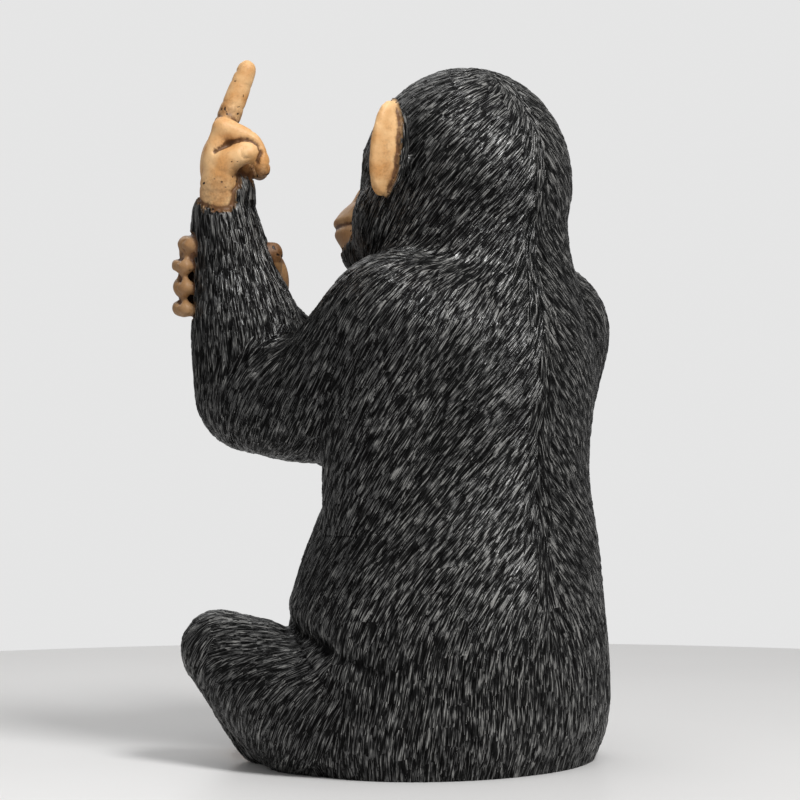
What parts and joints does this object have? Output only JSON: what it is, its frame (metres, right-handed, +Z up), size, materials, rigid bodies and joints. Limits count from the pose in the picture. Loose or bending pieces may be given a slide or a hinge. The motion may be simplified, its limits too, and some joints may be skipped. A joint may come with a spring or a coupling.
{
  "type": "garden statue",
  "caption": "Cast resin statue of a seated chimpanzee that raises its left middle finger and holds that forearm with its right hand, black fur and tan skin",
  "frame": {"origin": "on the flat underside, below the middle of the seat", "axes": "+Z up, the statue looks along -Y, its own left side is +X"},
  "size_m": [0.1925, 0.1857, 0.3306],
  "materials": {
    "painted_resin": "satin paint over carved fur, charcoal black with tan skin"
  },
  "bodies": {
    "root": {"statue": "painted_resin"}
  },
  "joints": []
}
